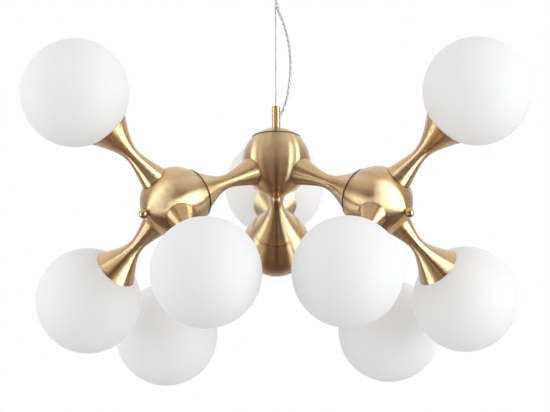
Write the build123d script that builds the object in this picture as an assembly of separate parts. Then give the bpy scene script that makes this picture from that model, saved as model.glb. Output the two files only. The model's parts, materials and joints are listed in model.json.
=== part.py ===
from build123d import *
import os
from math import acos, atan2, cos, degrees, hypot, pi, radians, sin, sqrt, tan

# Multi arm chandelier: a central ball hub hangs on a wire, three hourglass arms carry
# three outer ball hubs, and each of those carries three hourglass arms with opal globes.
# Millimetres, +Z up, origin in the ceiling plane at the middle of the bracket's screw slots.

# Driving dimensions of the layout
HUB_Z = -300.0  # central hub centre below the ceiling
LINK = 181.5  # central hub centre to outer hub centre
REACH = 210.5  # outer hub centre to globe centre
SPLAY = 64.17  # arm axis to the hub's own axis, degrees
TWIST = {"left": -4.84, "right": 4.84, "rear": -0.9}  # hubs turned about their arms

# Hubs
HUB_R = 48.4
HUB_WALL = 1.8
SEAT = 43.8  # flat arm seat, distance from the hub centre
MOUTH = 35.0  # plane of the hub's large opening
MOUTH_R = 36.2  # edge of that opening, a little wider than the ball is there
POLE = 48.1  # small flat under the finial
FINIAL_R = 6.75
FINIAL_AT = 54.6

# Arms: one horn for globes and, a little longer, for the links between the hubs
ARM_WALL = 1.4
ARM_ROOT_R = 20.5
ROOT_CURVE = 1.68  # how quickly the root narrows to the waist
WAIST_AT = 88.0
WAIST_R = 10.1
RIM_CURVE = 2.33  # how late the horn opens to its rim
RIM_AT = 142.3
RIM_R = 32.3
LINK_RIM_AT = 143.3
ARM_FLOOR = 3.0

# Globes, lampholders and bulbs, distances from the outer hub centre along the arm
GLOBE_R = 75.0
GLOBE_WALL = 2.2
GLOBE_GAP = 0.4
NECK_R = 19.0
NECK_BORE_R = 16.5
NECK_END = 127.8
HOLDER_R = 16.0
HOLDER_BASE = 117.5
HOLDER_TOP = 134.0
BULB_TIP = 176.0

# Threaded tubes, rods and nuts
TUBE_R = 5.0
TUBE_BORE_R = 3.5
TUBE_HOLE_R = 5.2
STUD_R = 2.7
NUT_AF = 14.0
NUT_H = 4.0

# Cover plates between a connecting arm and its outer hub, and the central hub's cap
COVER_T = 3.0
COVER_FAR_R = 33.7  # the plate's edge narrows from the hub's mouth towards the arm
LIP_R = 33.8
LIP_WALL = 2.0
LIP_H = 3.5
SEAL_R = 35.2
SEAL_T = 1.4
SEAL_STEP = 2.5
CAP_LIP_R = 31.0
CAP_LIP_WALL = 1.7
CAP_LIP_H = 4.0
CAP_FLOOR = 45.3  # underside of the cap's thick middle

# Stem and suspension, heights above the central hub centre
STEM_R = 6.1
STEM_TOP = 82.0
WIRE_R = 0.7
CORD_R = 1.75
BUSH_R = 2.6
BUSH_SLOPE = 66.0

# Ceiling fitting
CANOPY_R = 55.0
CANOPY_H = 30.0
CANOPY_WALL = 1.5
SLOT_SPACING = 70.0
SLOT_W = 5.0
SLOT_L = 12.0

os.makedirs("parts", exist_ok=True)


def save(name, shape):
    export_step(shape, "parts/" + name + ".step")


def group(solids):
    return Compound(children=list(solids))


def lathe(points):
    """A closed profile of (radius, height) points turned about Z."""
    edge = Polyline(*[(r, 0, z) for r, z in points], close=True)
    return revolve(make_face(edge), Axis.Z)


def rod(radius, low, high):
    return Pos(0, 0, low) * Cylinder(radius, high - low, align=(Align.CENTER, Align.CENTER, Align.MIN))


def hex_nut(low):
    prism = extrude(RegularPolygon(NUT_AF / 2, 6, major_radius=False), NUT_H)
    return Pos(0, 0, low) * prism - rod(TUBE_R, low - 1, low + NUT_H + 1)


def frame_at(origin, axis, x_dir):
    return Plane(origin=origin, x_dir=x_dir, z_dir=axis).location


# Arm directions in a hub's own frame: Z is the hub axis towards its finial
def local_dir(j):
    a = radians(120 * j)
    return Vector(sin(radians(SPLAY)) * cos(a), sin(radians(SPLAY)) * sin(a), cos(radians(SPLAY)))


def local_arm(j):
    d = local_dir(j)
    side = Vector(0, 0, 1).cross(d)
    return frame_at((0, 0, 0), d, side)


CENTRE = Vector(0, 0, HUB_Z)
# The central hub's axis points down, its first arm goes to the rear
centre_frame = frame_at(CENTRE, (0, 0, -1), (0, 1, 0))
LINK_INDEX = {"rear": 0, "right": 1, "left": 2}


def link_axis(name):
    j = LINK_INDEX[name]
    d = local_dir(j)
    return Vector(d.Y, d.X, -d.Z)


def outer_frame(name):
    u = link_axis(name)
    up = (Vector(0, 0, 1) - u * u.Z).normalized()
    side = u.cross(up)
    t = radians(TWIST[name])
    return frame_at(CENTRE + u * LINK, u, up * cos(t) + side * sin(t))


# Hourglass profile: radius of an arm at distance s from the hub centre
def outer_r(s):
    if s < WAIST_AT:
        t = (WAIST_AT - s) / (WAIST_AT - SEAT)
        return sqrt(WAIST_R**2 + (ARM_ROOT_R**2 - WAIST_R**2) * t**ROOT_CURVE)
    t = (s - WAIST_AT) / (RIM_AT - WAIST_AT)
    return sqrt(WAIST_R**2 + (RIM_R**2 - WAIST_R**2) * t**RIM_CURVE)


def inner_r(s):
    slope = (outer_r(s + 0.1) - outer_r(s - 0.1)) / 0.2
    return outer_r(s) - ARM_WALL * sqrt(1 + slope * slope)


def arm_shell(end):
    """Spun shell from the seat to the wide rim, with a flat floor at its root."""
    outer = [SEAT, 50, 57, 64, 71, 78, WAIST_AT, 94, 100, 106, 113, 120, 127, 134, end]
    floor = SEAT + ARM_FLOOR
    inner = [end, 134, 127, 120, 113, 106, 100, 94, WAIST_AT, 78, 71, 64, 57, floor]
    out = Spline(*[(outer_r(s), 0, s) for s in outer])
    ins = Spline(*[(inner_r(s), 0, s) for s in inner])
    lip = Line((outer_r(end), 0, end), (inner_r(end), 0, end))
    step = Line((inner_r(floor), 0, floor), (TUBE_HOLE_R, 0, floor))
    hole = Line((TUBE_HOLE_R, 0, floor), (TUBE_HOLE_R, 0, SEAT))
    seat = Line((TUBE_HOLE_R, 0, SEAT), (outer_r(SEAT), 0, SEAT))
    return revolve(make_face([out, lip, ins, step, hole, seat]), Axis.Z)


# Hub shell: a ball with three flat arm seats, one large mouth and a finial hole.
# Below its widest part the ball runs into a short cone, tangent to it, that ends at the mouth.
CONE_FROM = atan2(MOUTH, MOUTH_R) - acos(HUB_R / hypot(MOUTH, MOUTH_R))


def ball_form(radius, mouth_r, past):
    low = -MOUTH - past
    end = mouth_r - past * tan(CONE_FROM)
    middle = (pi / 2 - CONE_FROM) / 2
    on_ball = [(radius * cos(a), 0, radius * sin(a)) for a in (middle, -CONE_FROM)]
    round_line = ThreePointArc((0, 0, radius), *on_ball)
    cone_line = Line(on_ball[1], (end, 0, low))
    floor = Line((end, 0, low), (0, 0, low))
    middle_line = Line((0, 0, low), (0, 0, radius))
    return revolve(make_face([round_line, cone_line, floor, middle_line]), Axis.Z)


def beyond(direction, distance, size=120):
    place = frame_at(direction * distance, direction, (0, 1, 0) if abs(direction.Y) < 0.9 else (1, 0, 0))
    return place * Box(size, size, size, align=(Align.CENTER, Align.CENTER, Align.MIN))


ball = ball_form(HUB_R, MOUTH_R, 0)
hollow = ball_form(HUB_R - HUB_WALL, MOUTH_R - HUB_WALL / cos(CONE_FROM), 2)
for j in range(3):
    ball -= beyond(local_dir(j), SEAT)
    hollow -= beyond(local_dir(j), SEAT - HUB_WALL)
ball -= beyond(Vector(0, 0, 1), POLE)
hub_shell = ball - hollow
for j in range(3):
    hub_shell -= local_arm(j) * rod(TUBE_HOLE_R, 30, 60)
hub_shell -= rod(STUD_R + 0.6, 30, 60)

# Finial: a ball nut on a short collar, with a blind thread
finial = Pos(0, 0, FINIAL_AT) * Sphere(FINIAL_R) + rod(4.5, POLE, POLE + 3)
finial -= rod(STUD_R + 0.3, POLE - 1, FINIAL_AT + 2)

# Globe arm with its rim ground to the globe
globe_arm = arm_shell(RIM_AT + 0.9)
globe_arm -= Pos(0, 0, REACH) * Sphere(GLOBE_R + GLOBE_GAP)
link_arm = arm_shell(LINK_RIM_AT)

# Opal globe with a threaded neck
globe = Pos(0, 0, REACH) * Sphere(GLOBE_R) + rod(NECK_R, NECK_END, REACH - 66)
globe -= Pos(0, 0, REACH) * Sphere(GLOBE_R - GLOBE_WALL)
globe -= rod(NECK_BORE_R, NECK_END - 1, REACH - 60)

# Threaded tube of a globe arm and its two nuts, one each side of the hub wall and arm floor
tube = rod(TUBE_R, SEAT - 10, HOLDER_BASE + 4.5) - rod(TUBE_BORE_R, SEAT - 11, HOLDER_BASE + 6)
nut_in_hub = hex_nut(SEAT - HUB_WALL - NUT_H)
nut_in_arm = hex_nut(SEAT + ARM_FLOOR)

# Lampholder with a threaded skirt outside, a pocket and two pin slots inside
holder = lathe(
    [
        (0, HOLDER_BASE + 4.5),
        (TUBE_R, HOLDER_BASE + 4.5),
        (TUBE_R, HOLDER_BASE),
        (HOLDER_R - 1, HOLDER_BASE),
        (HOLDER_R, HOLDER_BASE + 1),
        (HOLDER_R, HOLDER_TOP),
        (10, HOLDER_TOP),
        (10, HOLDER_TOP - 7.5),
        (0, HOLDER_TOP - 7.5),
    ]
)
PIN_AT = 4.75
PIN_LOW = HOLDER_TOP - 10.5
for x in (-PIN_AT, PIN_AT):
    holder -= Pos(x, 0, 0) * rod(1.2, PIN_LOW, HOLDER_TOP)

# Capsule bulb: base, clear envelope with a domed tip, two pins
BULB_R = 8.0
BULB_BASE = HOLDER_TOP - 7.4
bulb = rod(7.0, BULB_BASE, BULB_BASE + 12) + rod(BULB_R, BULB_BASE + 12, BULB_TIP - BULB_R)
bulb += Pos(0, 0, BULB_TIP - BULB_R) * Sphere(BULB_R)
for x in (-PIN_AT, PIN_AT):
    bulb += Pos(x, 0, 0) * rod(0.8, PIN_LOW + 0.2, BULB_BASE + 1)

# Lead in a globe arm's tube with a crimped splice at its inner end
lamp_lead = rod(1.8, 24, HOLDER_BASE + 4.5) + rod(4.0, 12, 24)

# Tie rod of a connecting arm, distances from the central hub centre along the arm:
# hollow from the central hub to the outer hub, a window for the lead, a stud for the finial
link_rod = rod(TUBE_R, SEAT - 10, LINK + 20) + rod(STUD_R, LINK + 20, LINK + FINIAL_AT + 1)
link_rod -= rod(TUBE_BORE_R, SEAT - 11, LINK - 15)
link_rod -= Pos(0, 0, LINK - 20) * Rot(0, 90, 0) * Cylinder(3, 30)
link_lead = rod(1.8, 24, LINK - 24) + rod(4.0, 12, 24)

# Cover plate: closes the outer hub's mouth, with a lip that centres it
COVER_LOW = LINK_RIM_AT - LINK
COVER_HIGH = COVER_LOW + COVER_T
cover = lathe(
    [
        (TUBE_HOLE_R, COVER_LOW),
        (COVER_FAR_R, COVER_LOW),
        (MOUTH_R, COVER_HIGH),
        (LIP_R, COVER_HIGH),
        (LIP_R, COVER_HIGH + LIP_H),
        (LIP_R - LIP_WALL, COVER_HIGH + LIP_H),
        (LIP_R - LIP_WALL, COVER_HIGH),
        (TUBE_HOLE_R, COVER_HIGH),
    ]
)
nut_on_cover = hex_nut(COVER_HIGH)

# Top cap of the central hub, in the hub's own frame: a dome that completes the ball, with a
# lip, and the thin dark ring between the cap and the hub's edge, stepped to centre both
CAP_LOW = -MOUTH - SEAL_T
room = Pos(0, 0, -CAP_FLOOR) * Box(120, 120, 120, align=(Align.CENTER, Align.CENTER, Align.MIN))
cap = Sphere(HUB_R) & beyond(Vector(0, 0, -1), -CAP_LOW)
cap -= Sphere(HUB_R - HUB_WALL) & room
cap -= beyond(Vector(0, 0, -1), POLE)
cap -= rod(TUBE_HOLE_R, -60, -30)
cap += rod(CAP_LIP_R, CAP_LOW - 1.5, CAP_LIP_H - MOUTH) - rod(CAP_LIP_R - CAP_LIP_WALL, CAP_LOW - 2, 0)
seal = lathe(
    [
        (CAP_LIP_R, CAP_LOW),
        (SEAL_R, CAP_LOW),
        (SEAL_R, -MOUTH),
        (LIP_R, -MOUTH),
        (LIP_R, SEAL_STEP - MOUTH),
        (CAP_LIP_R, SEAL_STEP - MOUTH),
    ]
)

# Central tie rod, hollow at the top for the cord, a stud below for the finial
centre_rod = rod(TUBE_R, -57, 20) + rod(STUD_R, 20, FINIAL_AT + 1)
centre_rod -= rod(TUBE_BORE_R, -58, -18)
centre_rod -= Pos(0, 0, -24) * Rot(0, 90, 0) * Cylinder(3, 30)
centre_nut = hex_nut(-CAP_FLOOR)
cord_tail = rod(1.5, -62, -22)

# Stem, heights measured upwards from the central hub centre
stem = lathe(
    [
        (TUBE_R, POLE),
        (STEM_R, POLE),
        (STEM_R, STEM_TOP - 0.8),
        (STEM_R - 0.8, STEM_TOP),
        (1.2, STEM_TOP),
        (1.2, STEM_TOP - 3),
        (4.4, STEM_TOP - 3),
        (4.4, 57),
        (TUBE_R, 57),
    ]
)
slope = radians(BUSH_SLOPE)
BUSH_OUT = Vector(8.4, 0, 73.4)
bush_dir = Vector(cos(slope), 0, sin(slope))
bush_frame = frame_at(BUSH_OUT, bush_dir, (0, 1, 0))
stem -= bush_frame * rod(BUSH_R, -11.5, 6)
bush = bush_frame * (rod(BUSH_R, -10.5, 0) - rod(1.2, -11, 1))
wire_stop = rod(3.0, STEM_TOP - 10, STEM_TOP - 3.1) - rod(WIRE_R, STEM_TOP - 11, STEM_TOP)

# Ceiling bracket: a strap with two slotted feet on the ceiling and a dropped, threaded middle
feet = [(-48, 0), (-22, 0), (-18, -10), (18, -10), (22, 0), (48, 0)]
feet += [(48, -2), (23.4, -2), (19.4, -12), (-19.4, -12), (-23.4, -2), (-48, -2)]
strap = extrude(make_face(Polyline(*[(x, 0, z) for x, z in feet], close=True)), 10, both=True)
strap -= rod(TUBE_R, -20, 5)
for x in (-SLOT_SPACING / 2, SLOT_SPACING / 2):
    strap -= Pos(x, 0, -3) * extrude(SlotOverall(SLOT_L, SLOT_W), 6)

# Canopy: a round dish, open at the ceiling, with holes for the gripper and the cord grip
GRIP_X, GRIP_Y = -14.0, -3.0
dish = fillet(rod(CANOPY_R, -CANOPY_H, 0).edges().group_by(Axis.Z)[0], 6)
inside = rod(CANOPY_R - CANOPY_WALL, -CANOPY_H + CANOPY_WALL, 1)
canopy = dish - fillet(inside.edges().group_by(Axis.Z)[0], 4.5)
canopy -= rod(TUBE_HOLE_R, -40, 0)
canopy -= Pos(GRIP_X, GRIP_Y, 0) * rod(4.1, -40, 0)

# Wire gripper: a neck that screws into the bracket, a barrel and a tapered nose
gripper = lathe(
    [
        (0.95, -4.5),
        (TUBE_R, -4.5),
        (TUBE_R, -CANOPY_H),
        (7.0, -CANOPY_H),
        (7.0, -CANOPY_H - 11),
        (4.0, -CANOPY_H - 15),
        (4.0, -CANOPY_H - 18),
        (0.95, -CANOPY_H - 18),
    ]
)
gripper_locknut = hex_nut(-10)

# Cord grip with its ring nut inside the canopy
CORD_TOP = -CANOPY_H - 4
grip = lathe(
    [
        (1.2, CORD_TOP),
        (4.0, CORD_TOP),
        (5.2, -CANOPY_H - 2.5),
        (5.2, -CANOPY_H),
        (4.0, -CANOPY_H),
        (4.0, -CANOPY_H + 7),
        (1.2, -CANOPY_H + 7),
    ]
)
ring_nut = rod(6.2, -CANOPY_H + CANOPY_WALL, -CANOPY_H + 4.5) - rod(4.0, -CANOPY_H, -20)
grip = Pos(GRIP_X, GRIP_Y, 0) * grip
ring_nut = Pos(GRIP_X, GRIP_Y, 0) * ring_nut

# Terminal block under the dropped middle of the bracket: three ways, with screw wells
block = Pos(13, 0, -12) * Box(11, 28, 13, align=(Align.CENTER, Align.CENTER, Align.MAX))
for y in (-9, 0, 9):
    block -= Pos(13, y, -25) * Cylinder(2.2, 10)
    block -= Pos(13, y, -16) * Rot(0, 90, 0) * Cylinder(1.6, 20)

# Suspension wire, straight and taut
wire = rod(WIRE_R, HUB_Z + STEM_TOP - 10, -3)

# Power cord: straight runs and tangent arcs, heights above the central hub centre
CORD_ROUTE = [
    (BUSH_OUT.X, 0, BUSH_OUT.Z),
    (BUSH_OUT.X + 13 * cos(slope), 0, BUSH_OUT.Z + 13 * sin(slope)),
    (18.6, 0, 108.0),
    (21.4, 0, 137.0),
    (20.8, 0, 160.0),
    (18.0, -0.3, 182.0),
    (11.6, -1.4, 207.0),
    (3.6, -2.9, 224.5),
    (0.6, -3.3, 242.0),
    (-8.0, -3.1, 255.0),
    (GRIP_X - 0.7, GRIP_Y, CORD_TOP - HUB_Z + 1.3),
]
route = [Vector(*p) for p in CORD_ROUTE]


def corner_radii(points):
    out = []
    for a, b, c in zip(points, points[1:], points[2:]):
        turn = radians((b - a).get_angle(c - b))
        short = min((b - a).length, (c - b).length)
        out.append(0.45 * short / tan(turn / 2))
    return out


cord_radii = corner_radii(route)
cord_path = FilletPolyline(*[tuple(p) for p in route], radius=cord_radii)
start = (route[1] - route[0]).normalized()
cord_end = Plane(origin=route[0], z_dir=start)
cord = sweep(cord_end * Circle(CORD_R), path=cord_path)
print("cord corner radii:", [round(r, 1) for r in cord_radii])
print("cord length:", round(cord_path.length, 1))
print("cord volume over section times length:", round(cord.volume / (pi * CORD_R**2 * cord_path.length), 4))
# The cord's top is cut level where it meets the grip's face
cord -= Pos(0, 0, CORD_TOP - HUB_Z) * Box(80, 80, 20, align=(Align.CENTER, Align.CENTER, Align.MIN))

# Clip: two rings, one on the wire and one on the cord, joined side by side
CLIP_LOW, CLIP_H = 230.0, 4.4
t = (CLIP_LOW + CLIP_H / 2 - route[7].Z) / (route[8].Z - route[7].Z)
clip_at = route[7] + (route[8] - route[7]) * t
ring_cord = Pos(clip_at.X, clip_at.Y, 0) * rod(3.3, CLIP_LOW, CLIP_LOW + CLIP_H)
ring_wire = rod(1.9, CLIP_LOW, CLIP_LOW + CLIP_H)
turn = degrees(atan2(clip_at.Y, clip_at.X))
bridge_box = Box(3, 2.4, CLIP_H, align=(Align.CENTER, Align.CENTER, Align.MIN))
bridge = Rot(0, 0, turn) * Pos(2, 0, CLIP_LOW) * bridge_box
clip = ring_cord + ring_wire + bridge
clip -= Pos(clip_at.X, clip_at.Y, 0) * rod(CORD_R + 0.7, CLIP_LOW - 1, CLIP_LOW + CLIP_H + 1)
clip -= rod(WIRE_R, CLIP_LOW - 1, CLIP_LOW + CLIP_H + 1)

# Ceiling fitting and suspension
above = Pos(0, 0, HUB_Z)
save("ceiling_bracket", strap)
save("ceiling_canopy", canopy)
save("wire_gripper", group([gripper, gripper_locknut]))
save("cord_grip", group([grip, ring_nut]))
save("terminal_block", block)
save("suspension_wire", wire)
save("wire_stop", above * wire_stop)
save("power_cord", above * cord)
save("cord_clip", above * clip)

# Central hub and what is fixed to it
save("stem", above * stem)
save("cord_bush", above * bush)
save("top_cap", centre_frame * cap)
save("cap_seal", centre_frame * seal)
save("hub_center", centre_frame * hub_shell)
save("finial_center", centre_frame * finial)
save("center_rod", group([centre_frame * centre_rod, centre_frame * centre_nut]))

links = {name: centre_frame * local_arm(LINK_INDEX[name]) for name in LINK_INDEX}
fixings = []
wiring = [centre_frame * cord_tail]
covers = []
for name, place in links.items():
    save("link_arm_" + name, place * link_arm)
    fixings += [place * link_rod, place * nut_in_hub, place * nut_in_arm]
    wiring.append(place * link_lead)
    outer = outer_frame(name)
    covers.append(outer * cover)
    fixings.append(outer * nut_on_cover)
save("link_rods", group(fixings))
save("link_covers", group(covers))
save("center_wiring", group(wiring))

# Outer hubs with their arms, lampholders, bulbs and globes
ARMS = {
    "left": ["top", "outer", "front"],
    "right": ["top", "front", "outer"],
    "rear": ["top", "right", "left"],
}
for name, arms in ARMS.items():
    outer = outer_frame(name)
    save("hub_" + name, outer * hub_shell)
    save("finial_" + name, outer * finial)
    places = [outer * local_arm(j) for j in range(3)]
    for arm, place in zip(arms, places):
        save("arm_" + name + "_" + arm, place * globe_arm)
        save("globe_" + name + "_" + arm, place * globe)
    parts = [[p * tube, p * nut_in_hub, p * nut_in_arm] for p in places]
    save("arm_tubes_" + name, group([s for three in parts for s in three]))
    save("lampholders_" + name, group([p * holder for p in places]))
    save("bulbs_" + name, group([p * bulb for p in places]))
    save("wiring_" + name, group([p * lamp_lead for p in places]))
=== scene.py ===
# %% [markdown]
# A chandelier of nine opal globes on turned brass arms. The imported model is the fixed frame: it
# says where every hub, arm and globe is, in metres, with the origin in the ceiling. This script
# dresses that frame.

# %% Load the frame
import json
from math import acos, asin, atan2, cos, hypot, pi, radians, sin, sqrt

import bpy
from mathutils import Matrix, Vector


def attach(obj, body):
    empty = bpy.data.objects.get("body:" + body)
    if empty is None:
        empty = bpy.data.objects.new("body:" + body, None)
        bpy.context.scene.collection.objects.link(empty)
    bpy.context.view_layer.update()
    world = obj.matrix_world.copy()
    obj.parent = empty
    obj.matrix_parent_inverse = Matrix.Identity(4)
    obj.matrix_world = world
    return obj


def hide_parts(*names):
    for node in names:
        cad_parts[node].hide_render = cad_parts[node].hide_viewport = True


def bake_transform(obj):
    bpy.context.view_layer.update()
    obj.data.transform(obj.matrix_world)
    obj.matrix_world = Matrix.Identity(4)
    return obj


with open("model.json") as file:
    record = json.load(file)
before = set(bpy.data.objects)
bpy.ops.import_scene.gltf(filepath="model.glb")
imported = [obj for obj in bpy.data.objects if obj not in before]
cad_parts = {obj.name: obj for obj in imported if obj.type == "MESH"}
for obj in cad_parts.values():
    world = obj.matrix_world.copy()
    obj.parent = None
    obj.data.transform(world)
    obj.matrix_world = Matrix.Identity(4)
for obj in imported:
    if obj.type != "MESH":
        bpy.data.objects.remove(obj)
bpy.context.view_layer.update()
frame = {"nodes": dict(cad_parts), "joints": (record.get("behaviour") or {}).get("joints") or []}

MM = 0.001

# %% [markdown]
# The light hangs from one wire, and it repeats one plan: a ball hub with three arms, splayed
# evenly about the hub's own axis. The joints of the frame already hold every hub centre and
# every arm direction, so the layout is read from them and no place is typed in twice.

# %% Read the layout
HUB_CENTRE = Vector((0, 0, -300 * MM))
REACH = 210.5 * MM  # outer hub centre to globe centre
ARMS = {
    "left": ["top", "outer", "front"],
    "right": ["top", "front", "outer"],
    "rear": ["top", "right", "left"],
}
joints = {j["name"]: j for j in frame["joints"]}
link_axis = {hub: Vector(joints[f"hub_{hub}_turn"]["axis"]) for hub in ARMS}
hub_centre = {hub: Vector(joints[f"hub_{hub}_turn"]["pos_m"]) for hub in ARMS}
arm_axis = {
    (hub, arm): Vector(joints[f"globe_{hub}_{arm}_off"]["axis"])
    for hub in ARMS
    for arm in ARMS[hub]
}
splay = link_axis["left"].angle(arm_axis["left", "top"])
LINK = (hub_centre["left"] - HUB_CENTRE).length
print("splay of the arms:", round(splay, 4), "rad; hub to hub:", round(LINK, 4), "m")


def along_axis(origin, axis):
    """A place whose Z runs along the axis. A turned piece needs no more than that."""
    return Matrix.Translation(origin) @ axis.to_track_quat("Z", "Y").to_matrix().to_4x4()


def hub_place(origin, axis, first_arm):
    """A hub's own place: Z along its axis, X on the side of its first arm."""
    z = axis.normalized()
    x = (first_arm - z * first_arm.dot(z)).normalized()
    return Matrix.Translation(origin) @ Matrix((x, z.cross(x), z)).transposed().to_4x4()


# %% [markdown]
# The photograph was taken from a little below, with a long lens, so near and far globes differ
# little in size. The camera is built from its own three directions. The picture's middle falls
# below the central hub, so the camera aims there and needs no shift.

# %% Camera
CAMERA_PITCH = radians(14.6)
CAMERA_ROLL = radians(0.255)
CAMERA_DISTANCE = 4.347
AIM_DROP = 62.6 * MM
AIM_LEFT = 2.0 * MM
LENS_MM = 199.75
SENSOR_MM = 36
FAR_CLIP = 100

bpy.ops.object.camera_add()
camera = bpy.context.object
camera.name = "camera"
camera.data.lens = LENS_MM
camera.data.sensor_width = SENSOR_MM
camera.data.clip_end = FAR_CLIP
forward = Vector((0, cos(CAMERA_PITCH), sin(CAMERA_PITCH)))
right = Vector((1, 0, 0))
up = right.cross(forward)
aim = HUB_CENTRE - up * AIM_DROP - right * AIM_LEFT
rolled_right = right * cos(CAMERA_ROLL) - up * sin(CAMERA_ROLL)
rolled_up = right * sin(CAMERA_ROLL) + up * cos(CAMERA_ROLL)
turn = Matrix((rolled_right, rolled_up, -forward)).transposed().to_4x4()
camera.matrix_world = Matrix.Translation(aim - forward * CAMERA_DISTANCE) @ turn
bpy.context.scene.camera = camera
print("camera at", [round(x, 3) for x in camera.matrix_world.translation])

# %% [markdown]
# Two lines run up to the ceiling: a taut steel wire that carries the weight, and a slim clear
# power cord that leaves the stem's side, bows out and is clipped to the wire again. A soft
# spline through a few chosen points gives the cord's line. The tube is that same line with a
# round section, turned into a mesh.

# %% Cord and wire
CORD_R = 1.75 * MM
WIRE_R = 0.7 * MM
CORD_ROUTE = [
    (8.4, 0, 73.4),
    (13.69, 0, 85.28),
    (18.6, 0, 108.0),
    (21.4, 0, 137.0),
    (20.8, 0, 160.0),
    (18.0, -0.3, 182.0),
    (11.6, -1.4, 207.0),
    (3.6, -2.9, 224.5),
    (0.6, -3.3, 242.0),
    (-8.0, -3.1, 255.0),
    (-14.0, -3.0, 266.0),
]
WIRE_ROUTE = [(0, 0, 72), (0, 0, 150), (0, 0, 225), (0, 0, 297)]
STEPS_PER_POINT = 10
STEPS_ROUND = 4


def select_only(piece):
    bpy.ops.object.select_all(action="DESELECT")
    piece.select_set(True)
    bpy.context.view_layer.objects.active = piece


def spline(name, route):
    """A smooth line through points given in millimetres from the central hub."""
    curve = bpy.data.curves.new(name, "CURVE")
    curve.dimensions = "3D"
    curve.resolution_u = STEPS_PER_POINT
    line = curve.splines.new("NURBS")
    line.points.add(len(route) - 1)
    for point, place in zip(line.points, route):
        point.co = (*(HUB_CENTRE + Vector(place) * MM), 1)
    line.order_u = 3
    line.use_endpoint_u = True
    made = bpy.data.objects.new(name, curve)
    bpy.context.scene.collection.objects.link(made)
    return made


def tube(name, route, radius):
    """The spline's own points, and a mesh tube of that radius along them."""
    made = spline(name, route)
    line = bpy.data.meshes.new_from_object(made)
    path = [v.co.copy() for v in line.vertices]
    made.data.bevel_depth = radius
    made.data.bevel_resolution = STEPS_ROUND
    made.data.use_fill_caps = True
    select_only(made)
    bpy.ops.object.convert(target="MESH")
    made = bpy.context.object
    bpy.ops.object.shade_smooth_by_angle(angle=radians(40))
    length = sum((b - a).length for a, b in zip(path, path[1:]))
    print(name, "length", round(length, 4), "faces", len(made.data.polygons))
    return made, path, length


power_cord, cord_path, cord_length = tube("power_cord_jacket", CORD_ROUTE, CORD_R)
hanging_wire, wire_path, wire_length = tube("hanging_wire", WIRE_ROUTE, WIRE_R)

# %% [markdown]
# Shader maths is easier to read as arithmetic. A Socket wraps one output of a node, and adding
# or multiplying sockets adds the Math nodes. Every other node comes from one method, which sets
# the node's own settings first and then fills or links its inputs.


# %% Shader arithmetic
class Socket:
    """One output of a node, which takes part in plain arithmetic."""

    def __init__(self, recipe, output):
        self.recipe = recipe
        self.output = output

    def sibling(self, name):
        """Another output of the same node."""
        return Socket(self.recipe, self.output.node.outputs[name])

    def math(self, operation, first, second=0.0):
        return self.recipe.node("ShaderNodeMath", {"operation": operation}, {0: first, 1: second})

    def __add__(self, other):
        return self.math("ADD", self, other)

    def __radd__(self, other):
        return self.math("ADD", other, self)

    def __sub__(self, other):
        return self.math("SUBTRACT", self, other)

    def __rsub__(self, other):
        return self.math("SUBTRACT", other, self)

    def __mul__(self, other):
        return self.math("MULTIPLY", self, other)

    def __rmul__(self, other):
        return self.math("MULTIPLY", other, self)


class Recipe:
    """A node tree that is built up from nothing."""

    def __init__(self, tree):
        self.tree = tree
        tree.nodes.clear()

    def node(self, kind, settings=None, inputs=None, out=0):
        made = self.tree.nodes.new(kind)
        for name, value in (settings or {}).items():
            setattr(made, name, value)
        for name, value in (inputs or {}).items():
            if isinstance(value, Socket):
                self.tree.links.new(value.output, made.inputs[name])
            else:
                made.inputs[name].default_value = value
        return Socket(self, made.outputs[out]) if made.outputs else None

    def vector(self, operation, first, second=None, out=0):
        inputs = {0: first} if second is None else {0: first, 1: second}
        return self.node("ShaderNodeVectorMath", {"operation": operation}, inputs, out)

    def scaled(self, vector, factor):
        inputs = {"Vector": vector, "Scale": factor}
        return self.node("ShaderNodeVectorMath", {"operation": "SCALE"}, inputs)

    def blend(self, factor, first, second):
        """A colour between two others."""
        inputs = {0: factor, 6: first, 7: second}
        return self.node("ShaderNodeMix", {"data_type": "RGBA"}, inputs, 2)

    def ramp(self, value, low, high, to_low=0.0, to_high=1.0):
        """A soft step from one level to another."""
        settings = {"interpolation_type": "SMOOTHSTEP"}
        span = {"From Min": low, "From Max": high, "To Min": to_low, "To Max": to_high}
        return self.node("ShaderNodeMapRange", settings, {"Value": value, **span})

    def place(self):
        return self.node("ShaderNodeTexCoord", out="Object")

    def noise(self, place, scale, detail):
        inputs = {"Vector": place, "Scale": scale, "Detail": detail, "Roughness": 0.5}
        return self.node("ShaderNodeTexNoise", None, inputs)

    def bump(self, height, strength, distance):
        inputs = {"Strength": strength, "Distance": distance, "Height": height}
        return self.node("ShaderNodeBump", None, inputs)


def material(name):
    made = bpy.data.materials.new(name)
    made.use_nodes = True
    return made, Recipe(made.node_tree)


def surface(recipe, inputs):
    """The shader that every finish ends in."""
    shader = recipe.node("ShaderNodeBsdfPrincipled", None, inputs)
    recipe.node("ShaderNodeOutputMaterial", None, {"Surface": shader})


# %% [markdown]
# The brass is brushed on the lathe, so fine grooves run round each turned piece. They spread
# every reflection along the piece and keep it narrow across, which draws the long bright
# streaks from end to end. Each piece carries its own turning axis, and a fine random lean of
# the surface along that axis stands for the grooves. Points in the narrow gaps between pieces
# carry painted shade: there the metal's colour is made dark, as the shade that falls in a gap.

# %% Turned brass
BRASS_DEEP = (0.62, 0.41, 0.195, 1)
BRASS_PALE = (0.74, 0.52, 0.27, 1)
# painted shade: the dark colour given to brass in the narrow gaps between pieces
BRASS_PAINTED_SHADE = (0.05, 0.028, 0.014, 1)
BRUSHED_LEAN = 0.9
POLISHED_LEAN = 0.2
GROOVE_FINE = 91000.0
GROOVE_FINER = 233000.0
STREAKS_PER_METRE = 420.0
CLOUDS_PER_METRE = 18.0


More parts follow.
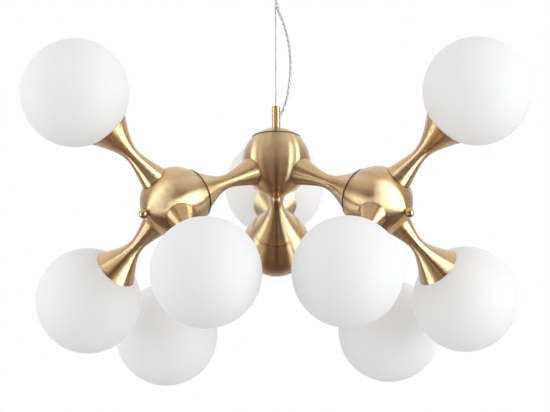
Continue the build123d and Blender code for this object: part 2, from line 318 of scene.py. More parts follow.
def turned_brass(name, groove_lean):
    made, brass = material(name)
    axis = brass.node("ShaderNodeAttribute", {"attribute_name": "turning_axis"}, out="Vector")
    painted_shade_mask = brass.node("ShaderNodeAttribute", {"attribute_name": "painted_shade_mask"}, out="Fac")
    normal = brass.node("ShaderNodeNewGeometry", out="Normal")
    place = brass.place()
    along = brass.vector("DOT_PRODUCT", place, axis, out="Value")
    facing = brass.vector("DOT_PRODUCT", normal, axis, out="Value")
    on_skin = brass.vector("SUBTRACT", axis, brass.scaled(normal, facing))
    lengthwise = brass.vector("NORMALIZE", on_skin)
    in_line = {"noise_dimensions": "1D"}
    fine = brass.node("ShaderNodeTexWhiteNoise", in_line, {"W": along * GROOVE_FINE})
    finer = brass.node("ShaderNodeTexWhiteNoise", in_line, {"W": along * GROOVE_FINER})
    lean = (fine + finer - 1.0) * groove_lean
    leaning = brass.vector("ADD", normal, brass.scaled(lengthwise, lean))
    pattern = {"W": along, "Scale": STREAKS_PER_METRE, "Detail": 4.0, "Roughness": 0.7}
    streaks = brass.node("ShaderNodeTexNoise", in_line, pattern)
    cloud = brass.noise(place, CLOUDS_PER_METRE, 3.0)
    tone = brass.ramp(streaks * 0.6 + cloud * 0.4, 0.3, 0.7)
    # The base colour turns dark on points marked for painted shade in a gap.
    surface(brass, {
        "Base Color": brass.blend(painted_shade_mask, brass.blend(tone, BRASS_DEEP, BRASS_PALE), BRASS_PAINTED_SHADE),
        "Metallic": 1.0,
        "Roughness": brass.ramp(cloud, 0.25, 0.75, 0.12, 0.18),
        "Normal": brass.vector("NORMALIZE", leaning),
    })
    return made


# %% [markdown]
# The globes are opal glass with an etched skin: white right through, matte, with hardly any
# reflection. A very faint clouding keeps them from looking like paint. The skin inside carries a
# faint painted glow, a stand-in for light coming through the glass, which shows in the neck when
# a globe is off.

# %% Opal glass
OPAL_SHADE = (0.86, 0.86, 0.862, 1)
OPAL_WHITE = (0.885, 0.885, 0.88, 1)
OPAL_PAINTED_GLOW = (0.085, 0.085, 0.084, 1)
ETCH_PER_METRE = 2600.0


def opal_glass():
    made, opal = material("opal_glass")
    place = opal.place()
    cloud = opal.noise(place, 14.0, 3.0)
    etch = opal.noise(place, ETCH_PER_METRE, 1.0)
    inner = opal.node("ShaderNodeAttribute", {"attribute_name": "inner_skin"}, out="Fac")
    surface(opal, {
        "Base Color": opal.blend(cloud, OPAL_SHADE, OPAL_WHITE),
        "Roughness": opal.ramp(cloud, 0.3, 0.7, 0.55, 0.65),
        "IOR": 1.5,
        "Specular IOR Level": 0.2,
        # a faint painted glow on the inner skin, standing in for light through the glass
        "Emission Color": opal.blend(inner, (0, 0, 0, 1), OPAL_PAINTED_GLOW),
        "Emission Strength": 1.0,
        "Normal": opal.bump(etch, 0.04, 0.2 * MM),
    })
    return made


# %% [markdown]
# The small materials: the cord's clear jacket over two twisted silvery cores, the stranded
# wire, plain turned steel for the fixings inside, white moulded plastic, the clear clip, the
# bulb's frosted glass and the insulation of the leads. Patterns that follow a line, such as the
# twist of the cord, read the tube's own map, where one direction runs along it.

# %% Small materials
CORD_TWISTS = 26.0
WIRE_TWISTS = 60.0


def twist(recipe, turns, strands):
    """A wave that winds round a tube: 0 in the gaps between strands, 1 on each strand."""
    map_place = recipe.node("ShaderNodeTexCoord", out="UV")
    along = recipe.node("ShaderNodeSeparateXYZ", None, {0: map_place})
    phase = (along * turns + along.sibling(1) * strands) * (2 * pi)
    return along.math("COSINE", phase) * 0.5 + 0.5


def cord_jacket():
    made, cord = material("cord_jacket")
    core = twist(cord, CORD_TWISTS, 2.0)
    surface(cord, {
        "Base Color": cord.blend(core, (0.4, 0.4, 0.4, 1), (0.7, 0.7, 0.69, 1)),
        "Metallic": core * 0.2,
        "Roughness": core * -0.1 + 0.35,
        "Coat Weight": 0.6,
        "Coat Roughness": 0.12,
        "Normal": cord.bump(core, 0.25, 0.6 * MM),
    })
    return made


def strand_wire():
    made, wire = material("strand_wire")
    strand = twist(wire, WIRE_TWISTS, 6.0)
    surface(wire, {
        # The base colour is darker in the gaps between strands: painted shade in the grooves.
        "Base Color": wire.blend(strand, (0.25, 0.25, 0.25, 1), (0.62, 0.62, 0.63, 1)),
        "Metallic": 1.0,
        "Roughness": strand * -0.1 + 0.38,
        "Normal": wire.bump(strand, 0.6, 0.3 * MM),
    })
    return made


def plain(name, dark, pale, scale, rough, metallic=0.0):
    """A clouded plain finish with its own scale and roughness."""
    made, finish = material(name)
    place = finish.place()
    cloud = finish.noise(place, scale, 3.0)
    grain = finish.noise(place, scale * 25, 2.0)
    surface(finish, {
        "Base Color": finish.blend(finish.ramp(cloud, 0.3, 0.7), dark, pale),
        "Metallic": metallic,
        "Roughness": finish.ramp(cloud, 0.3, 0.7, rough - 0.05, rough + 0.06),
        "Normal": finish.bump(grain, 0.08, 0.2 * MM),
    })
    return made


FINISH = {
    "brass": turned_brass("turned_brass", BRUSHED_LEAN),
    "polished": turned_brass("polished_brass", POLISHED_LEAN),
    "opal": opal_glass(),
    "cord": cord_jacket(),
    "wire": strand_wire(),
    "steel": plain("turned_steel", (0.46, 0.46, 0.47, 1), (0.62, 0.62, 0.62, 1), 60, 0.3, 1.0),
    "plastic": plain("white_plastic", (0.74, 0.73, 0.7, 1), (0.82, 0.81, 0.78, 1), 40, 0.42),
    "clear": plain("clear_clip", (0.72, 0.72, 0.72, 1), (0.84, 0.84, 0.84, 1), 80, 0.2),
    "frosted": plain("frosted_bulb", (0.78, 0.78, 0.76, 1), (0.86, 0.86, 0.83, 1), 70, 0.35),
    "seal": plain("dark_seal", (0.02, 0.017, 0.014, 1), (0.035, 0.03, 0.026, 1), 90, 0.55),
    "lead": plain("lead_insulation", (0.6, 0.6, 0.58, 1), (0.72, 0.72, 0.7, 1), 60, 0.45),
}
print("finishes:", sorted(FINISH))

# %% [markdown]
# Nearly every piece here is turned on a lathe or spun from sheet, so one helper makes them all:
# it draws a ring and extrudes it from station to station, widening or narrowing as it goes,
# the way a spinner follows a template. Radius and height pairs are the template. A template
# that ends on its own first point closes into a solid ring, and one that ends on the axis
# closes in a pole.

# %% Lathe helper
SIDES = 96
SAME_POINT = 1e-6


def turned(name, template, sides=SIDES, fill_start=False, fill_end=False, smooth=30):
    bpy.ops.object.select_all(action="DESELECT")
    radius, height = template[0]
    fill = "NGON" if fill_start else "NOTHING"
    start = {"radius": radius, "location": (0, 0, height)}
    bpy.ops.mesh.primitive_circle_add(vertices=sides, fill_type=fill, **start)
    piece = bpy.context.object
    piece.name = name
    bpy.ops.object.transform_apply()
    bpy.ops.object.mode_set(mode="EDIT")
    bpy.ops.mesh.select_mode(type="EDGE")
    bpy.ops.mesh.select_all(action="SELECT")
    for next_radius, next_height in template[1:]:
        step = (0, 0, next_height - height)
        bpy.ops.mesh.extrude_edges_move(TRANSFORM_OT_translate={"value": step})
        grow = next_radius / radius
        bpy.ops.transform.resize(value=(grow, grow, 1), center_override=(0, 0, next_height))
        radius, height = next_radius, next_height
    if fill_end:
        bpy.ops.mesh.edge_face_add()
    bpy.ops.mesh.select_all(action="SELECT")
    bpy.ops.mesh.remove_doubles(threshold=SAME_POINT)
    bpy.ops.mesh.normals_make_consistent(inside=False)
    bpy.ops.object.mode_set(mode="OBJECT")
    bpy.ops.object.shade_smooth_by_angle(angle=radians(smooth))
    return piece


def mark_painted_shade(piece, stations):
    """Marks the points of a turned piece that lie at these stations for painted shade in a gap."""
    mark = piece.data.attributes.new("painted_shade_mask", "FLOAT", "POINT")
    for k, vertex in enumerate(piece.data.vertices):
        at = Vector((hypot(vertex.co.x, vertex.co.y), vertex.co.z))
        near = any((at - Vector(station)).length < SAME_POINT for station in stations)
        mark.data[k].value = float(near)
    return piece


def apply_modifier(piece, kind, **settings):
    """Adds a modifier, sets it and applies it."""
    select_only(piece)
    added = piece.modifiers.new(kind.lower(), kind)
    for name, value in settings.items():
        setattr(added, name, value)
    bpy.ops.object.modifier_apply(modifier=added.name)


def arc(middle, radius, start, stop, steps):
    """Stations on a ball: the angle is measured from the far pole, in radians."""
    angles = [start + (stop - start) * k / steps for k in range(steps + 1)]
    return [(radius * sin(a), middle + radius * cos(a)) for a in angles]


def to_pole(middle, radius, start, steps):
    """Stations on a ball that end on the axis, at the far pole."""
    return arc(middle, radius, start, 0, steps)[:-1] + [(0, middle + radius)]


def copy_to(model, name, place):
    """A copy with its own mesh, its place in the mesh and its turning axis on every point."""
    piece = model.copy()
    piece.data = model.data.copy()
    piece.name = piece.data.name = name
    piece.data.transform(place)
    axis = (place.to_3x3() @ Vector((0, 0, 1))).normalized()
    lean = piece.data.attributes.new("turning_axis", "FLOAT_VECTOR", "POINT")
    lean.data.foreach_set("vector", list(axis) * len(piece.data.vertices))
    bpy.context.scene.collection.objects.link(piece)
    return piece


def joined(name, pieces):
    """Several copies as one piece."""
    bpy.ops.object.select_all(action="DESELECT")
    for piece in pieces:
        piece.select_set(True)
    bpy.context.view_layer.objects.active = pieces[0]
    if len(pieces) > 1:
        bpy.ops.object.join()
    made = bpy.context.object
    made.name = made.data.name = name
    return made


def paint(piece, finish):
    """Gives a piece its finish."""
    piece.data.materials.clear()
    piece.data.materials.append(FINISH[finish])


def dress(piece, finish, body, node):
    """Gives a piece its finish and its body, and hides the frame's node that it stands for."""
    paint(piece, finish)
    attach(piece, body)
    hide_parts(node)


models = []


def model(piece):
    """Marks a shape that is only copied from, so that it can be cleared away at the end."""
    models.append(piece)
    return piece


# %% [markdown]
# The arms are hourglass horns, spun from sheet: a root that sits on a flat of the hub, a slim
# waist, and a wide rim. Two curves that meet at the waist describe the outside, and the inside
# follows at the sheet's thickness. The root is set back a little at its foot, which leaves the
# thin seam where an arm meets its hub; the seam's faces carry painted shade that darkens it.

# %% Arms
SEAT = 43.8 * MM
ARM_ROOT_R = 20.5 * MM
ROOT_CURVE = 1.68  # how quickly the root narrows to the waist
WAIST_AT = 88.0 * MM
WAIST_R = 10.1 * MM
RIM_CURVE = 2.33  # how late the horn opens to its rim
RIM_AT = 142.3 * MM
RIM_R = 32.3 * MM
LINK_RIM_AT = 143.3 * MM
ARM_WALL = 1.4 * MM
GLOBE_R = 75.0 * MM
GLOBE_GAP = 0.4 * MM
FOOT = 0.5 * MM  # part of the root that is let into the hub
GAP = 0.7 * MM
GAP_DEPTH = 1.5 * MM
TUBE_HOLE_R = 5.2 * MM
ARM_FLOOR = 3.0 * MM
ARM_STATIONS = 30


def outside(at):
    """The horn's radius at a distance from the hub's centre."""
    if at < WAIST_AT:
        share = (WAIST_AT - at) / (WAIST_AT - SEAT)
        return sqrt(WAIST_R**2 + (ARM_ROOT_R**2 - WAIST_R**2) * share**ROOT_CURVE)
    share = (at - WAIST_AT) / (RIM_AT - WAIST_AT)
    return sqrt(WAIST_R**2 + (RIM_R**2 - WAIST_R**2) * share**RIM_CURVE)


def inside(at):
    slope = (outside(at + 0.1 * MM) - outside(at - 0.1 * MM)) / (0.2 * MM)
    return outside(at) - ARM_WALL * sqrt(1 + slope * slope)


def rim_on_globe(radius_at):
    """Where a horn's line comes to the ground rim that follows the globe, by halving."""
    low, high = WAIST_AT, RIM_AT + 2 * MM
    for _ in range(40):
        middle = (low + high) / 2
        within = radius_at(middle) ** 2 + (REACH - middle) ** 2 < (GLOBE_R + GLOBE_GAP) ** 2
        low, high = (low, middle) if within else (middle, high)
    return low


def horn(name, outer_end, inner_end):
    start, floor = SEAT + FOOT + GAP, SEAT + ARM_FLOOR
    outer = [start + (outer_end - start) * k / ARM_STATIONS for k in range(ARM_STATIONS + 1)]
    inner = [inner_end + (floor - inner_end) * k / ARM_STATIONS for k in range(ARM_STATIONS + 1)]
    seam = [(ARM_ROOT_R - GAP_DEPTH, SEAT), (ARM_ROOT_R - GAP_DEPTH, start)]
    template = [(TUBE_HOLE_R, SEAT)] + seam + [(outside(at), at) for at in outer]
    template += [(inside(at), at) for at in inner]
    template += [(TUBE_HOLE_R, floor), (TUBE_HOLE_R, SEAT)]
    return model(mark_painted_shade(turned(name, template), seam))


globe_horn = horn("globe_horn", rim_on_globe(outside), rim_on_globe(inside))
link_horn = horn("link_horn", LINK_RIM_AT, LINK_RIM_AT)
for hub, axis in link_axis.items():
    piece = copy_to(link_horn, f"link_horn_{hub}", along_axis(HUB_CENTRE, axis))
    dress(piece, "brass", "pendant", f"link_arm_{hub}")
for (hub, arm), axis in arm_axis.items():
    piece = copy_to(globe_horn, f"horn_{hub}_{arm}", along_axis(hub_centre[hub], axis))
    dress(piece, "brass", f"hub_{hub}_group", f"arm_{hub}_{arm}")
print("arms:", len(arm_axis) + len(link_axis), "horns of", len(globe_horn.data.polygons), "faces")

# %% [markdown]
# The hubs are spun balls. Below its widest part each runs into a short cone, which ends at a
# wide mouth with an eased edge. The mouth's face lies in the gap and carries painted shade.
# Planes then cut three flats for the arms, as a mill would, so that the seams round the arms stay
# true circles.

# %% Hubs
HUB_R = 48.9 * MM
FLAT_AT = 44.3 * MM
MOUTH = 35.0 * MM
MOUTH_R = 36.2 * MM
POLE = 48.7 * MM
EDGE = 0.4 * MM
MOUTH_EDGE = 0.8 * MM


def ball_hub():
    cone_from = atan2(MOUTH, MOUTH_R) - acos(HUB_R / hypot(MOUTH, MOUTH_R))
    face = (MOUTH_R - 1.1 * MOUTH_EDGE, -MOUTH)
    template = [face, (MOUTH_R - MOUTH_EDGE, -MOUTH), (MOUTH_R, MOUTH_EDGE - MOUTH)]
    template += arc(0, HUB_R, pi / 2 + cone_from, acos(POLE / HUB_R), 72)
    piece = mark_painted_shade(turned("ball_hub", template, 128, fill_start=True, fill_end=True), [face])
    bpy.ops.object.mode_set(mode="EDIT")
    for k in range(3):
        around = 2 * pi * k / 3
        side = Vector((sin(splay) * cos(around), sin(splay) * sin(around), cos(splay)))
        bpy.ops.mesh.select_all(action="SELECT")
        bpy.ops.mesh.bisect(plane_co=side * FLAT_AT, plane_no=side, use_fill=True, clear_outer=True)
    bpy.ops.object.mode_set(mode="OBJECT")
    bpy.ops.object.shade_smooth_by_angle(angle=radians(10))
    return model(piece)


hub_model = ball_hub()
place = hub_place(HUB_CENTRE, Vector((0, 0, -1)), link_axis["rear"])
dress(copy_to(hub_model, "hub_ball_center", place), "brass", "pendant", "hub_center")
for hub, arms in ARMS.items():
    place = hub_place(hub_centre[hub], link_axis[hub], arm_axis[hub, arms[0]])
    piece = copy_to(hub_model, f"hub_ball_{hub}", place)
    dress(piece, "brass", f"hub_{hub}_group", f"hub_{hub}")
print("hub faces:", len(hub_model.data.polygons))

# %% [markdown]
# The central hub's mouth faces up and is closed by a shallow domed cap that completes the ball.
# Under the cap lies a thin dark ring, which shows as the seam. The outer hubs' mouths are closed
# by flat cover plates, whose edge is the thin band between a connecting arm and its hub. The arm
# runs smoothly into that band, and a narrow gap on the hub's side leaves a shadow line, darkened
# further by painted shade on the gap's faces that fades out on the plate's edge.

# %% Cap and cover plates
CAP_R = 49.5 * MM
SEAL_R = 35.2 * MM
SEAL_T = 1.4 * MM
SEAL_BORE_R = 31.0 * MM
STEM_R = 6.1 * MM
COVER_LOW = LINK_RIM_AT - LINK
COVER_T = 3.0 * MM
COVER_FAR_R = 33.7 * MM  # the plate's edge narrows from the hub's mouth towards the arm
COVER_NEAR_R = 35.7 * MM
COVER_GAP = 1.1 * MM
# The gap's painted shade fades out over COVER_SHADE on the plate's edge.
COVER_SHADE = 0.5 * MM  # how far the gap's darkness reaches out on the plate's edge

cap_edge = MOUTH + SEAL_T
cap_template = arc(0, CAP_R, asin(STEM_R / CAP_R), acos(cap_edge / CAP_R), 20)
cap_template += [(TUBE_HOLE_R, cap_edge), cap_template[0]]
cap_model = model(turned("cap", cap_template))
place = Matrix.Translation(HUB_CENTRE)
dress(copy_to(cap_model, "cap_dome", place), "brass", "pendant", "top_cap")
seal_template = [(SEAL_BORE_R, MOUTH), (SEAL_R, MOUTH), (SEAL_R, cap_edge), (SEAL_BORE_R, cap_edge)]
seal_model = model(turned("seal", seal_template + seal_template[:1]))
dress(copy_to(seal_model, "seal_ring", place), "seal", "pendant", "cap_seal")

cover_high = COVER_LOW + COVER_T
cover_edge = cover_high - COVER_GAP
seam_floor = MOUTH_R - GAP_DEPTH
hub_seam = [(COVER_NEAR_R, cover_edge), (seam_floor, cover_edge), (seam_floor, cover_high)]
cover_template = [(TUBE_HOLE_R, COVER_LOW), (COVER_FAR_R, COVER_LOW)]
cover_template += [(COVER_NEAR_R - COVER_SHADE, cover_edge - COVER_SHADE)]
cover_template += hub_seam + [(TUBE_HOLE_R, cover_high), (TUBE_HOLE_R, COVER_LOW)]
cover_model = model(mark_painted_shade(turned("cover", cover_template), hub_seam))
covers = []
for hub in ARMS:
    place = along_axis(hub_centre[hub], link_axis[hub])
    covers.append(copy_to(cover_model, f"cover_{hub}", place))
dress(joined("cover_plates", covers), "brass", "pendant", "link_covers")

# %% [markdown]
# Four ball finials clamp the hubs. Each is a ball on a short collar. The stem is a plain turned
# rod with a rounded top edge and a slanted hole on its right side, where the cord comes out.

# %% Finials and stem
FINIAL_R = 6.75 * MM
FINIAL_AT = 54.6 * MM
COLLAR_R = 4.5 * MM
STEM_TOP = 82.0 * MM
STEM_EDGE = 0.8 * MM
FOOT_FLARE = 0.7 * MM
FOOT_HIGH = 2.0 * MM
BUSH_R = 2.6 * MM
BUSH_OUT = Vector((8.4, 0, 73.4)) * MM
BUSH_SLOPE = radians(66)
DRILL_FROM, DRILL_TO = -10 * MM, 6 * MM

ball_start = pi - asin(COLLAR_R / FINIAL_R)
finial_template = [(COLLAR_R, POLE)] + to_pole(FINIAL_AT, FINIAL_R, ball_start, 28)
finial_model = model(turned("finial", finial_template, 48, fill_start=True))
place = along_axis(HUB_CENTRE, Vector((0, 0, -1)))
piece = copy_to(finial_model, "finial_ball_center", place)
dress(piece, "polished", "pendant", "finial_center")
for hub in ARMS:
    place = along_axis(hub_centre[hub], link_axis[hub])
    piece = copy_to(finial_model, f"finial_ball_{hub}", place)
    dress(piece, "polished", f"hub_{hub}_group", f"finial_{hub}")

stem_template = [(STEM_R + FOOT_FLARE, POLE), (STEM_R + FOOT_FLARE / 2, CAP_R)]
stem_template += [(STEM_R, CAP_R + FOOT_HIGH)]
rounded = arc(STEM_TOP - STEM_EDGE, STEM_EDGE, pi / 2, 0, 4)
stem_template += [(STEM_R - STEM_EDGE + r, z) for r, z in rounded]
stem_model = model(turned("stem", stem_template, 64, fill_start=True, fill_end=True))
bush_way = Vector((cos(BUSH_SLOPE), 0, sin(BUSH_SLOPE)))
drill_template = [(BUSH_R, DRILL_FROM), (BUSH_R, DRILL_TO)]
drill = model(turned("drill", drill_template, 32, fill_start=True, fill_end=True))
drill.data.transform(along_axis(BUSH_OUT, bush_way))
apply_modifier(stem_model, "BOOLEAN", object=drill, operation="DIFFERENCE", solver="EXACT")
select_only(stem_model)
bpy.ops.object.shade_smooth_by_angle(angle=radians(30))
piece = copy_to(stem_model, "stem_rod", Matrix.Translation(HUB_CENTRE))
dress(piece, "brass", "pendant", "stem")

# %% [markdown]
# The globes are blown balls with a short neck that screws over the lampholder. The skin is
# turned from the neck to the far pole and then given its glass thickness on the inside. The
# points that this adds are marked as the inner skin.

# %% Globes
NECK_R = 19.0 * MM
NECK_END = 127.8 * MM
GLASS = 2.2 * MM
NECK_FILLET = 2.0 * MM
NECK_FLARE = 0.5 * MM

neck_meets = pi - asin((NECK_R + NECK_FILLET) / GLOBE_R)
shoulder = REACH + GLOBE_R * cos(neck_meets) - NECK_FILLET
globe_template = [(NECK_R, NECK_END), (NECK_R, shoulder - NECK_FILLET)]
globe_template += [(NECK_R + NECK_FLARE, shoulder)] + to_pole(REACH, GLOBE_R, neck_meets, 64)
globe_model = model(turned("globe", globe_template, smooth=40))
outer_points = len(globe_model.data.vertices)
apply_modifier(globe_model, "SOLIDIFY", thickness=GLASS, offset=-1)
inner_skin = globe_model.data.attributes.new("inner_skin", "FLOAT", "POINT")
for k, point in enumerate(inner_skin.data):
    point.value = float(k >= outer_points)
for (hub, arm), axis in arm_axis.items():
    piece = copy_to(globe_model, f"globe_glass_{hub}_{arm}", along_axis(hub_centre[hub], axis))
    dress(piece, "opal", f"globe_{hub}_{arm}_body", f"globe_{hub}_{arm}")
print("globe faces:", len(globe_model.data.polygons))

# %% [markdown]
# With a globe off, the lampholder and its capsule bulb show. The holder has a ridged skirt that
# the globe's neck screws onto, and a pocket for the bulb.

# %% Lampholders and bulbs
HOLDER_R = 16.0 * MM
HOLDER_BASE = 117.5 * MM
HOLDER_TOP = 134.0 * MM
HOLDER_HOLE_R = 5.0 * MM
HOLDER_EDGE = 1.0 * MM
POCKET_R = 10.0 * MM
POCKET_FLOOR = 126.5 * MM
RIDGES = 4
RIDGES_FROM = 1.6 * MM
RIDGE_PITCH = 3.2 * MM
RIDGE = [(0, 0), (-0.7, 0.8), (-0.7, 1.6), (0, 2.4)]  # depth and height in millimetres
BULB_R = 8.0 * MM
BULB_BASE_R = 7.0 * MM
BULB_SHOULDER = 138.6 * MM
BULB_TIP = 176.0 * MM
BULB_EASE = 0.6 * MM
BULB_STRAIGHT = 3.0 * MM

skirt = [(HOLDER_HOLE_R, HOLDER_BASE), (HOLDER_R - HOLDER_EDGE, HOLDER_BASE)]
skirt += [(HOLDER_R, HOLDER_BASE + HOLDER_EDGE)]
for k in range(RIDGES):
    at = HOLDER_BASE + RIDGES_FROM + RIDGE_PITCH * k
    skirt += [(HOLDER_R + depth * MM, at + high * MM) for depth, high in RIDGE]
skirt += [(HOLDER_R, HOLDER_TOP - EDGE), (HOLDER_R - EDGE, HOLDER_TOP)]
skirt += [(POCKET_R + EDGE, HOLDER_TOP), (POCKET_R, HOLDER_TOP - EDGE), (POCKET_R, POCKET_FLOOR)]
holder_model = model(turned("holder", skirt, 64, fill_start=True, fill_end=True))
capsule = [(BULB_BASE_R, POCKET_FLOOR), (BULB_BASE_R, BULB_SHOULDER)]
capsule += [(BULB_R, BULB_SHOULDER + BULB_EASE), (BULB_R, BULB_SHOULDER + BULB_STRAIGHT)]
capsule += to_pole(BULB_TIP - BULB_R, BULB_R, pi / 2, 12)
bulb_model = model(turned("bulb", capsule, 48, fill_start=True))
for hub, arms in ARMS.items():
    places = [along_axis(hub_centre[hub], arm_axis[hub, arm]) for arm in arms]
    holders = [copy_to(holder_model, f"holder_{hub}_{k}", p) for k, p in enumerate(places)]
    bulbs = [copy_to(bulb_model, f"bulb_{hub}_{k}", p) for k, p in enumerate(places)]
    body = f"hub_{hub}_group"
    piece = joined(f"holder_skirts_{hub}", holders)
    dress(piece, "plastic", body, f"lampholders_{hub}")
    piece = joined(f"capsule_bulbs_{hub}", bulbs)
    dress(piece, "frosted", body, f"bulbs_{hub}")

# %% [markdown]
# The ceiling fitting is a spun brass dish over the bracket. The wire gripper comes down through
# its middle and the cord's grip beside it. Both are turned pieces too.

# %% Ceiling fitting
CANOPY_R = 55.0 * MM
CANOPY_H = 30.0 * MM
CANOPY_WALL = 1.5 * MM
CANOPY_FILLET = 6.0 * MM
GRIP_PLACE = Vector((-14.0, -3.0, 0)) * MM
GRIPPER = [
    (0.95, 25.5), (5.0, 25.5), (5.0, 0), (6.5, 0), (7.0, -0.5), (7.0, -7.0), (6.5, -7.4),
    (6.5, -8.0), (7.0, -8.4), (7.0, -11.0), (4.0, -15.0), (4.0, -17.6), (3.6, -18.0),
    (0.95, -18.0), (0.95, 25.5),
]
LOCKNUT = [(5.0, 20.0), (8.08, 20.0), (8.08, 24.0), (5.0, 24.0), (5.0, 20.0)]
CORD_GRIP = [
    (1.75, -4.0), (3.8, -4.0), (5.2, -2.5), (5.2, 0), (4.0, 0), (4.0, 1.5), (6.2, 1.5),
    (6.2, 4.5), (4.0, 4.5), (4.0, 7.0), (1.75, 7.0), (1.75, -4.0),
]

floor_z = -CANOPY_H
corner = arc(floor_z + CANOPY_FILLET, CANOPY_FILLET, pi, pi / 2, 8)
inner_fillet = CANOPY_FILLET - CANOPY_WALL
inner_corner = arc(floor_z + CANOPY_FILLET, inner_fillet, pi / 2, pi, 8)
flat = CANOPY_R - CANOPY_FILLET
canopy_template = [(TUBE_HOLE_R, floor_z)] + [(flat + r, z) for r, z in corner] + [(CANOPY_R, 0)]
canopy_template += [(CANOPY_R - CANOPY_WALL, 0)] + [(flat + r, z) for r, z in inner_corner]
canopy_template += [(TUBE_HOLE_R, floor_z + CANOPY_WALL), (TUBE_HOLE_R, floor_z)]
canopy_model = model(turned("canopy", canopy_template))
dress(copy_to(canopy_model, "canopy_dish", Matrix()), "brass", "ceiling", "ceiling_canopy")


def over_floor(pairs):
    """A template from radius and height over the canopy's floor, in millimetres."""
    return [(radius * MM, floor_z + high * MM) for radius, high in pairs]


gripper_model = model(turned("gripper", over_floor(GRIPPER), 64))
nut_model = model(turned("locknut", over_floor(LOCKNUT), 6))
barrel = copy_to(gripper_model, "gripper_barrel", Matrix())
nut = copy_to(nut_model, "gripper_nut", Matrix())
dress(joined("gripper_turned", [barrel, nut]), "brass", "ceiling", "wire_gripper")

grip_model = model(turned("grip", over_floor(CORD_GRIP), 48))
piece = copy_to(grip_model, "cord_grip_turned", Matrix.Translation(GRIP_PLACE))
dress(piece, "clear", "ceiling", "cord_grip")

# %% [markdown]
# The cord gets its finish and stands in for the frame's cord. The wire stays with the ceiling.
# Pieces of the frame that keep their own shape, mostly fixings inside the hubs, get their finish
# here.

# %% Lines and fixings
paint(power_cord, "cord")
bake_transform(power_cord)
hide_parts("power_cord")
dress(hanging_wire, "wire", "ceiling", "suspension_wire")

FIXINGS = {
    "ceiling_bracket": "steel",
    "terminal_block": "plastic",
    "wire_stop": "steel",
    "cord_clip": "clear",
    "cord_bush": "clear",
    "center_rod": "steel",
    "link_rods": "steel",
    "center_wiring": "lead",
}
for hub in ARMS:
    FIXINGS[f"arm_tubes_{hub}"] = "steel"
    FIXINGS[f"wiring_{hub}"] = "lead"
for node, finish in FIXINGS.items():
    for held in frame["nodes"][node].material_slots:
        held.material = FINISH[finish]
for shape in models:
    bpy.data.objects.remove(shape)
print("fixings:", len(FIXINGS))

# %% [markdown]
# The studio is plain: a pale floor, a large soft box to the right, a weaker one to the left and
# a white backdrop. Metal shows what stands around it. For reflections the world is therefore a
# room whose brightness depends on the direction alone: a pale ceiling and rear wall, dim in
# front where the camera stands, dark below, and the two soft boxes as bright upright windows.

# %% Studio
FLOOR_Z = -2.5
FLOOR_SIZE = 60
FLOOR_GREY = (0.82, 0.82, 0.82, 1)
WHITE = (1, 1, 1, 1)
CAMERA_SIDE = 0.15  # levels of the room that the metal reflects
WALL = 0.31
CEILING = 0.72
REAR = 0.6
RIGHT_WINDOW = 9.5
LEFT_WINDOW = 4.3
FILL = 0.84  # level of the even light on matte pieces
DIM_TINT = (1.0, 0.72, 0.76, 1)
PALE_TINT = (0.96, 1.0, 1.1, 1)
BRIGHT_TINT = (0.9, 1.1, 1.3, 1)
AIM_POINT = HUB_CENTRE + Vector((0, 0, -60 * MM))


def soft_box(name, azimuth, elevation, width, height, power, distance=3.2):
    """A lamp that faces the light. Azimuth 0 is the camera's side, positive to the right."""
    a, e = radians(azimuth), radians(elevation)
    way = Vector((sin(a) * cos(e), -cos(a) * cos(e), sin(e)))
    bpy.ops.object.light_add(type="AREA", location=AIM_POINT + way * distance)
    lamp = bpy.context.object
    lamp.name = name
    lamp.data.shape = "RECTANGLE"
    lamp.data.size = width
    lamp.data.size_y = height
    lamp.data.energy = power
    lamp.rotation_euler = way.to_track_quat("Z", "Y").to_euler()
    lamp.visible_camera = False
    lamp.visible_glossy = False


soft_box("box_right", 60, 0, 2.2, 3.0, 36)
soft_box("box_left", -76, 0, 1.0, 1.6, 6.5, 1.8)

bpy.ops.mesh.primitive_plane_add(size=FLOOR_SIZE, location=(0, 0, FLOOR_Z))
floor = bpy.context.object
floor.name = "studio_floor"
floor.visible_glossy = False
floor_made, ground = material("pale_floor")
rays = ground.node("ShaderNodeLightPath")
below = ground.node("ShaderNodeNewGeometry", out="Backfacing")
matte = ground.node("ShaderNodeBsdfDiffuse", None, {"Color": FLOOR_GREY})
white = ground.node("ShaderNodeEmission", None, {"Color": WHITE, "Strength": 1.0})
clear = ground.node("ShaderNodeBsdfTransparent")
reach = ground.vector("LENGTH", ground.place(), out="Value")
washed = rays * ground.ramp(reach, 3.0, 12.0, 0.8, 1.0)
lit = ground.node("ShaderNodeMixShader", None, {0: washed, 1: matte, 2: white})
seen_through = ground.node("ShaderNodeMixShader", None, {0: below, 1: lit, 2: clear})
ground.node("ShaderNodeOutputMaterial", None, {"Surface": seen_through})
floor.data.materials.append(floor_made)

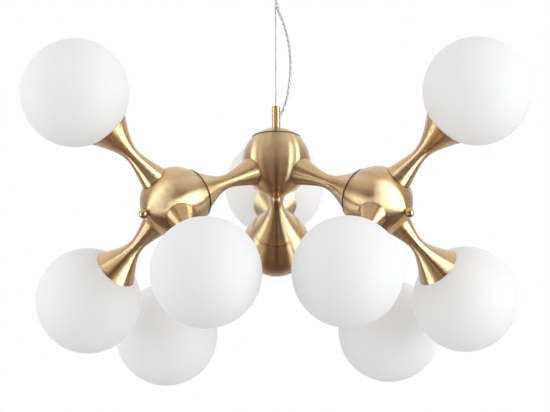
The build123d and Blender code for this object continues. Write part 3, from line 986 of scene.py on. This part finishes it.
world = bpy.data.worlds.new("studio")
bpy.context.scene.world = world
world.use_nodes = True
sky = Recipe(world.node_tree)
path = sky.node("ShaderNodeLightPath", out="Is Camera Ray")
glossy = path.sibling("Is Glossy Ray")
through = path.sibling("Is Transmission Ray")
direction = sky.node("ShaderNodeTexCoord", out="Generated")
sideways = sky.node("ShaderNodeSeparateXYZ", None, {0: direction})
away = sideways.sibling(1)
height = sideways.sibling(2)
azimuth = sideways.math("ARCTAN2", sideways, away * -1.0)
around = azimuth.math("ABSOLUTE", azimuth)


def window(left, right, low, high, soft):
    """1 between two azimuths in degrees, as for a soft box, and between two heights."""
    rise = sky.ramp(azimuth, radians(left - soft), radians(left + soft))
    fall = sky.ramp(azimuth, radians(right + 3 * soft), radians(right - 3 * soft))
    bottom = sky.ramp(height, low - 0.12, low + 0.12)
    return rise * fall * bottom * sky.ramp(height, high + 0.1, high - 0.1)


ceiling = sky.ramp(height, 0.2, 0.68, 0.0, CEILING)
walls = sky.ramp(around, radians(10), radians(48), CAMERA_SIDE, WALL)
walls = walls * sky.ramp(height, -0.85, -0.1, 0.6, 1.0)
rear = sky.ramp(around, radians(118), radians(150), 0.0, REAR)
rear = rear * sky.ramp(height, -0.5, -0.2) * sky.ramp(height, 0.7, 0.3)
windows = window(47, 82, -0.55, 0.3, 2) * RIGHT_WINDOW
windows = windows + window(-92, -60, -0.6, 0.24, 3) * LEFT_WINDOW
tent = walls + ceiling + rear + windows
tint = sky.blend(sky.ramp(tent, 0.12, 0.9), DIM_TINT, PALE_TINT)
tint = sky.blend(sky.ramp(tent, 1.2, 3.5), tint, BRIGHT_TINT)
seen = path.math("MAXIMUM", path, through)
level = FILL * (1.0 - glossy) + tent * glossy
level = level + (1.0 - level) * seen
colour = sky.blend(glossy, WHITE, tint)
background = sky.node("ShaderNodeBackground", None, {"Color": colour, "Strength": level})
sky.node("ShaderNodeOutputWorld", None, {"Surface": background})

# %% [markdown]
# Colours are shown as they are written, with the plain view transform.

# %% View transform
bpy.context.scene.view_settings.view_transform = "Standard"
